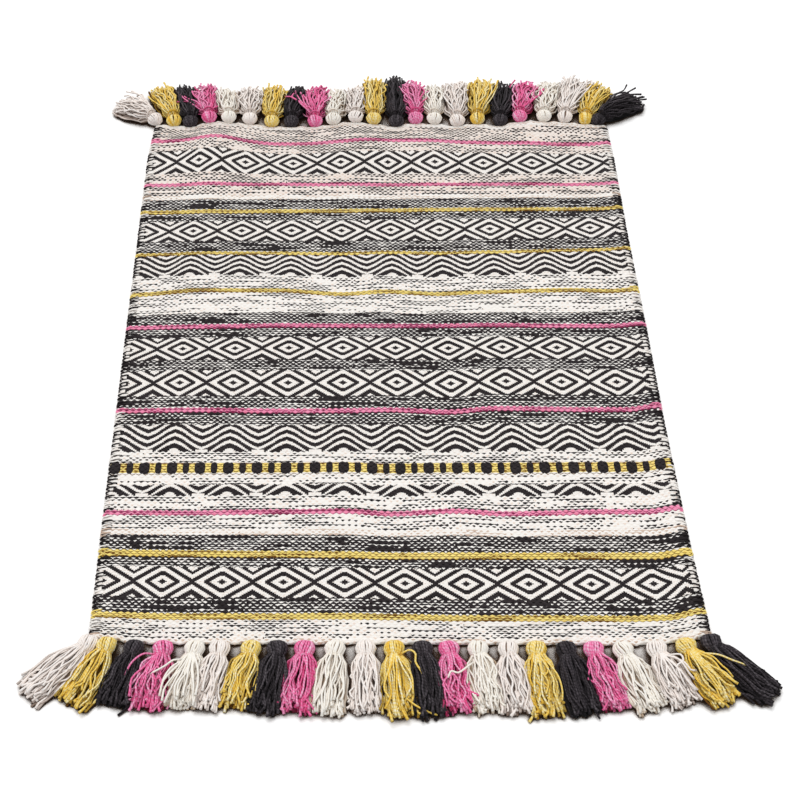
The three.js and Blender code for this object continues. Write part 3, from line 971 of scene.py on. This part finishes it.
def lay_yarns(name, strands):
    """A mesh of strands, which knows at each point whose it is, and its painted shade from how deep
    it lies.
    """
    mesh = curve_mesh(name, strands)
    numbers = np.arange(len(strands))
    in_cap = np.repeat(numbers[::-1], 2 * YARN_SIDES)
    in_side = np.repeat(numbers, [len(strand.path) * YARN_SIDES for strand in strands])
    owner = np.concatenate([in_cap, in_side])
    luck = np.random.default_rng(len(strands)).random(len(strands))
    cap_shade = np.array([strand.deep for strand in strands])[in_cap]
    sew_in_points(mesh, "number", owner)
    sew_in_points(mesh, "strand", luck[owner])
    sew_in_points(mesh, "buried", np.concatenate([cap_shade, bunch_and_side_shade(mesh, strands)]))

    # The map runs along each yarn in millimetres, and once round it.
    yarn_lengths = np.array([strand.length for strand in strands])
    ply_map = mesh.uv_layers[0]
    ply_map.name = "Ply"
    places = read(ply_map.data, "uv", 2, np.float32)
    places[::2] *= yarn_lengths[owner[read(mesh.loops, "vertex_index")]]
    ply_map.data.foreach_set("uv", places)

    form = bmesh.new()
    form.from_mesh(mesh)
    bmesh.ops.remove_doubles(form, verts=form.verts, dist=1e-7)
    form.to_mesh(mesh)
    form.free()
    mesh.polygons.foreach_set("use_smooth", np.ones(len(mesh.polygons), bool))
    return mesh


PLY_TWIST = 3.2  # millimetres of yarn to one turn of its two plies


def yarn_finish(yarn):
    """Soft two-ply cotton yarn, unevenly spun, with painted shade between its plies, deep in the
    bunch and on the sides of each yarn.
    """
    finish = Finish(f"{yarn.name}_yarn_cotton", roughness=0.9, sheen=0.04)
    along, round_it = finish.map("Ply")
    own = finish.sewn_in("strand", "Fac")
    buried = finish.sewn_in("buried", "Fac")
    ply = abs(finish.maths("SINE", (along / PLY_TWIST + round_it + own * 7.3) * math.pi))
    fibres = finish.noise(finish.vector(along * 0.35, round_it * 3, own * 40), 1.0, 2.0, 0.6)
    # Spun unevenly, with painted shade between the plies, deep in the bunch and on the yarn's
    # sides.
    twist_tone_and_shade = 0.05 - 0.35 * ply + 0.6 * (own - 0.5) + 0.7 * (fibres - 0.5) + 0.6 * buried
    shade_and_tone_gamma = 1.0 + yarn.uneven * twist_tone_and_shade
    lit = finish.put("ShaderNodeGamma", {"Color": (*yarn.colour, 1), "Gamma": shade_and_tone_gamma})
    shade = finish.blend(finish.held(buried), lit, (*yarn.deep_shade, 1), "MULTIPLY")
    finish.wear(shade, 0.22 * ply + 0.12 * fibres)
    return finish.material


# The layers of a skirt from the floor up: how many strands, how high in the skirt, how much they
# wave, how deep they lie in the bunch, which sets their painted shade, how much shorter some are,
# and how wide they lie.
LAYERS = [
    (12, 0.04, 0.5, 0.9, 0.05, 1.0),
    (18, 0.38, 0.8, 0.55, 0.12, 1.0),
    (20, 0.74, 1.0, 0.15, 0.20, 1.04),
    (14, 1.0, 1.4, 0.0, 0.26, 1.0),
]
FRAY = 2.2  # how far the cut ends turn aside
CUT_ENDS = 18
CUT_RADII = np.array([0.5, 0.9, 1, 1, 1.15, 1.35])
TIP_SWELL = (1.1, 1.3)  # how the last two points of a strand thicken
LONG_SHARE, LONG_BY = 0.08, 1.04  # a few strands are longer than the rest
FREE_RUN = 22  # how far past the binding the strands come free of each other
LONG_WAVE, SHORT_WAVE, RISE_WAVE = (45, 80), (15, 28), 32
DROOP_START, DROOP_RUN = 50, 24
FILLING_RADII = np.array([1.5, 2.1, 2.4, 2.4, 2.3, 1.9, 1.2])
FILLING_ASIDES = (-0.7, -0.35, 0.0, 0.35, 0.7)
HEAD_YARNS = 22
HEAD_REACHES = np.array([15.2, 13.4, 11, 8, 5, 2.6, 1.0, 0.6])
HEAD_TUCK = np.array([1, 1, 1, 1, 1, 1, 1, 0.45])  # the last point of each is tucked in
CORE_REACHES = np.array([1.6, 4, 8, 12, 15])
CORE_RADII = np.array([2.4, 4.8, 6.2, 5.8, 4.6])
BINDING_TURNS = 2.4
BINDING_PITCH = 0.9
FAR_LOOSENESS = 1.35  # how much more loosely the far skirts lie than the near ones

# Bunches that fall out over the neighbours: the end, the place, how many strands, how far
# aside the first and the last lie, how far they reach, and how high they arch.
FANS = [
    ("near", 4, 6, -19, -6, 66, 15.0),
    ("near", 5, 12, -21, 18, 72, 15.5),
    ("near", 12, 6, -18, 16, 68, 15.0),
    ("near", 17, 6, -14, 17, 70, 15.0),
    ("near", 21, 8, -12, 18, 66, 15.5),
    ("near", 22, 8, -12, 20, 70, 15.5),
    ("far", 1, 12, -4, 27, 74, 15.0),
    ("far", 2, 8, -24, 6, 62, 18.0),
    ("far", 4, 14, -34, 10, 58, 19.5),
    ("far", 9, 20, -38, 20, 56, 20.0),
    ("far", 14, 8, -16, 18, 64, 18.0),
    ("far", 16, 8, -15, 16, 64, 17.0),
    ("far", 17, 10, -10, 26, 70, 18.0),
    ("far", 19, 12, -16, 26, 64, 18.5),
    ("far", 21, 10, -8, 30, 70, 18.0),
    ("far", 22, 8, -6, 18, 64, 17.0),
    ("far", 23, 12, -24, 6, 82, 16.0),
]


def fray(path, luck, size):
    """Turns the cut end of a strand aside."""
    turn = luck.normal(0, 1, 3) * (1, 1, 0.5) * size
    path[-1] += turn
    path[-2] += 0.4 * turn
    path[:, 2] = np.maximum(path[:, 2], YARN_RADIUS)
    return path


def skirt_strands(line, looseness, luck):
    """The cut ends of a tassel, from the binding to their tips."""
    strands = []
    steps = 15 if line.far else 13
    for count, low_height, play, deep, shorter, wide in LAYERS:
        play *= looseness
        for number in range(count):
            start = (number + 0.5) / count * 2 - 1 + luck.normal(0, 0.06)
            finish = start + luck.normal(0, 0.15) * play
            height = low_height + luck.normal(0, 0.07)
            reach_end = USUAL_LENGTH * (1.0 - 0.02 * luck.random() - shorter * luck.random() ** 1.4)
            if luck.random() < LONG_SHARE:
                reach_end *= LONG_BY
            reach = np.linspace(NECK_REACH - 1.5, reach_end, steps)
            freed = np.clip((reach - NECK_REACH) / FREE_RUN, 0, 1)
            aside = start + (finish - start) * freed
            turns = luck.uniform(0, 2 * math.pi, 4)
            long_wave, short_wave = luck.uniform(*LONG_WAVE), luck.uniform(*SHORT_WAVE)
            sway = luck.normal(0, 1.3) * play * np.sin(reach / long_wave * 2 * math.pi + turns[0])
            sway += luck.normal(0, 0.7) * play * np.sin(reach / short_wave * 2 * math.pi + turns[1])
            rise = luck.normal(0, 0.6) * play * np.sin(reach / RISE_WAVE * 2 * math.pi + turns[2])
            droop = np.clip((reach - DROOP_START) / DROOP_RUN, 0, 1) ** 2
            path = line.lie(reach, aside * wide, height - 0.3 * droop * height * luck.random())
            path += line.aside(reach) * (sway * freed)[:, None]
            tilt = -0.9 * np.clip(aside, -1, 1)
            path[:, 2] += (rise + tilt + 0.8 * play * luck.random() * (deep < 0.5)) * freed
            path = fray(path, luck, FRAY * (0.4 if deep > 0.8 else 1.0))
            radii = np.full(len(reach), YARN_RADIUS * luck.uniform(0.85, 1.15))
            radii[0] *= 0.75
            radii[-2:] *= TIP_SWELL
            strands.append(Strand(path, radii, deep))
    for number in range(CUT_ENDS):
        start = luck.uniform(54, 64)
        tip = min(start + luck.uniform(9, 16), USUAL_LENGTH * 1.01)
        reach = np.linspace(start, tip, len(CUT_RADII))
        aside = luck.uniform(-0.98, 0.98) + luck.normal(0, 0.08) * (reach - start) / 12
        path = line.lie(reach, aside, np.full(len(reach), luck.uniform(0.35, 1.05)))
        path = fray(path, luck, FRAY)
        strands.append(Strand(path, YARN_RADIUS * luck.uniform(0.95, 1.2) * CUT_RADII))
    return strands


def laid_past(line, points):
    """A smooth path from points given as reach, distance aside and height."""
    reach, aside, height = smooth_path(points, 12).T
    path = line.middle(reach) + line.aside(reach) * aside[:, None]
    path[:, 2] += height
    return path


def fan_strands(line, count, first, last, tip, high, luck):
    """A loose bunch from the top of the binding, out over the neighbours."""
    strands = []
    for number in range(count):
        goal = first + (last - first) * (number + luck.uniform(0.1, 0.9)) / count
        end = tip * (1 - 0.22 * luck.random() ** 1.5)
        middle = NECK_REACH + (end - NECK_REACH) * luck.uniform(0.35, 0.5)
        points = [
            (NECK_REACH - 0.5, 0.12 * goal, 11.0),
            (NECK_REACH + 4, 0.22 * goal + luck.normal(0, 0.5), 13.0),
            (middle, goal * luck.uniform(0.5, 0.7) + luck.normal(0, 1.4),
             high + luck.normal(0, 0.7)),
            ((middle + end) / 2, goal * 0.9 + luck.normal(0, 2.0),
             high - 0.5 + luck.normal(0, 1.0)),
            (end, goal + luck.normal(0, 1.5), high - 4 + luck.normal(0, 1.2)),
        ]
        path = laid_past(line, points)
        radii = np.full(len(path), YARN_RADIUS * luck.uniform(0.9, 1.1))
        radii[-2:] *= TIP_SWELL
        strands.append(Strand(fray(path, luck, FRAY), radii))
    return strands


def tassel_yarns(end, place, looseness, luck):
    line = lines[end, place]
    strands = skirt_strands(line, looseness, luck)
    # The filling of the skirt, which stops short of the cut ends, painted deep in shade so that it
    # shows as dark gaps between the strands.
    reach = np.linspace(NECK_REACH, USUAL_LENGTH * 0.86, len(FILLING_RADII))
    for aside in FILLING_ASIDES:
        path = line.lie(reach, np.full(len(reach), aside), np.full(len(reach), 0.35))
        strands.append(Strand(path, FILLING_RADII, 0.9))
    # The head: yarns laid over it side by side from the binding, round its end and back.
    slant = luck.uniform(-0.35, 0.35)
    for number in range(HEAD_YARNS):
        angle = (number + luck.normal(0, 0.18)) / HEAD_YARNS * 2 * math.pi
        angles = angle + slant * (HEAD_REACHES - 8) / 8 + luck.normal(0, 0.03, len(HEAD_REACHES))
        path = line.ring(HEAD_REACHES, angles, luck.normal(0, 0.25) - 0.15)
        core = line.ring(HEAD_REACHES, angles, -4.0)
        path = core + (path - core) * HEAD_TUCK[:, None]
        # Which way is outwards from the head's middle, so that each head yarn gets painted shade on
        # its sides away from it.
        outwards = path - line.ring(HEAD_REACHES, angles, -6.0)
        outwards /= np.linalg.norm(outwards, axis=1, keepdims=True)
        strands.append(Strand(path, YARN_RADIUS * 1.3, outwards=outwards))
    # A core inside the head, painted wholly in shade.
    path = line.ring(CORE_REACHES, np.full(len(CORE_REACHES), math.pi / 2), -6.4)
    strands.append(Strand(path, CORE_RADII, 1.0))
    # The binding, with a little painted shade.
    turns = np.linspace(0, 2 * math.pi * BINDING_TURNS, 30)
    reach = 15.0 + turns / (2 * math.pi) * BINDING_PITCH
    path = line.ring(reach, turns + luck.uniform(0, 6), 0.7)
    strands.append(Strand(path, YARN_RADIUS * 0.75, 0.2))
    for fan_end, fan_place, *fan in FANS:
        if (fan_end, fan_place) == (end, place):
            strands += fan_strands(line, *fan, luck)
    for stray_end, stray_place, points in STRAYS:
        if (stray_end, stray_place) == (end, place):
            strands.append(Strand(laid_past(line, points), YARN_RADIUS))
    return strands


finishes = {kind.name: yarn_finish(kind) for kind in YARNS}
for end in ("near", "far"):
    for place in range(1, len(TASSELS) + 1):
        kind = YARNS[(place - 1) % len(YARNS)]
        yarn = kind.name
        luck = np.random.default_rng(1000 * (end == "far") + place)
        node = f"tassel_{end}_{place:02d}_{yarn}"
        looseness = kind.looseness * (FAR_LOOSENESS if end == "far" else 1)
        mesh = lay_yarns(f"{node}_tied", tassel_yarns(end, place, looseness, luck))
        mesh.materials.append(finishes[yarn])
        tassel = new_piece(f"{node}_tied", mesh)
        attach(tassel, "root")
        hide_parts(node)


# ---- The turns at the sides ----
# At each side of the cloth the weft yarns turn round the last warp thread and go back in,
# which leaves a row of small loops along both selvedges.
TURN_PITCH = 5.2
TURN_RADIUS = 0.85
FIRST_TURN, LAST_TURN = 4, WOVEN_LENGTH - 3
# How far in from the side, along, and above the cloth.
TURN_POINTS = np.array([
    (9.0, 2.2, -0.2), (6.0, 1.9, 0.6), (2.4, 1.2, 0.7), (-0.2, 0.2, 0.2), (-1.0, -0.8, -0.7),
    (-0.4, -1.7, -0.9), (1.6, -2.3, -0.5), (4.0, -2.4, -0.8),
])
TURN_YARNS = {"mustard": MUSTARD_YARN, "pink": PINK_YARN, "white": TAN_YARN, "hem": TAN_YARN}
DARK_WEAVES = ("dark", "diamond", "chequer", "zigzag")
BLACK_SHARES = (0.5, 0.85)  # how many of the turns are black, and how many in a dark weave
TURN_SHADE = (0.13, 0.08, 0.055, 1)  # painted shade under a turn, as what is left of the light

turn_luck = np.random.default_rng(7)
turns, turn_colours = [], []
ends = np.array([end for end, _ in BANDS])
for side in (0, 1):
    for middle in np.arange(FIRST_TURN, LAST_TURN, TURN_PITCH):
        middle += turn_luck.normal(0, 0.5)
        inwards, ahead, above = (TURN_POINTS + turn_luck.normal(0, 0.25, TURN_POINTS.shape)).T
        across = inwards if side == 0 else CLOTH_WIDTH - inwards
        along = np.clip(middle + ahead, 0, WOVEN_LENGTH)
        strayed = across - CLOTH_WIDTH / 2 + np.interp(across, WARP_STRAY[:, 0], WARP_STRAY[:, 1])
        y = FIRST_PICK + along + wander(across - CLOTH_WIDTH / 2, along)
        path = cloth_place(strayed, y, along / WOVEN_LENGTH)
        path[:, 2] += CLOTH_TOP + above
        weave = BANDS[np.searchsorted(ends, middle)][1]
        turns.append(Strand(path, TURN_RADIUS))
        black_share = BLACK_SHARES[weave in DARK_WEAVES]
        plain = BLACK_YARN if turn_luck.random() < black_share else WHITE_YARN
        turn_colours.append((*TURN_YARNS.get(weave, plain), 1))
turns_mesh = lay_yarns("rug_selvedge_turns", turns)
dyed = turns_mesh.attributes.new("dyed", "FLOAT_COLOR", "POINT")
numbers = read(turns_mesh.attributes["number"].data, "value", kind=np.float32)
turn_colours = np.array(turn_colours, np.float32)[numbers.astype(int)]
dyed.data.foreach_set("color", turn_colours.ravel())
turns_finish = Finish("selvedge_cotton", roughness=0.92)
turn_along, turn_round = turns_finish.map("Ply")
turn_ply = abs(turns_finish.maths("SINE", (turn_along / PLY_TWIST + turn_round) * math.pi))
# Painted shade on the undersides of the turns.
turn_side_shade = turns_finish.held(turns_finish.sewn_in("buried", "Fac"))
turn_dye = turns_finish.sewn_in("dyed", "Color")
turn_shade = turns_finish.blend(turn_side_shade, turn_dye, TURN_SHADE, "MULTIPLY")
turns_finish.wear(turn_shade, 0.2 * turn_ply)
turns_mesh.materials.append(turns_finish.material)
selvedge_turns = new_piece("rug_selvedge_turns", turns_mesh)
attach(selvedge_turns, "root")
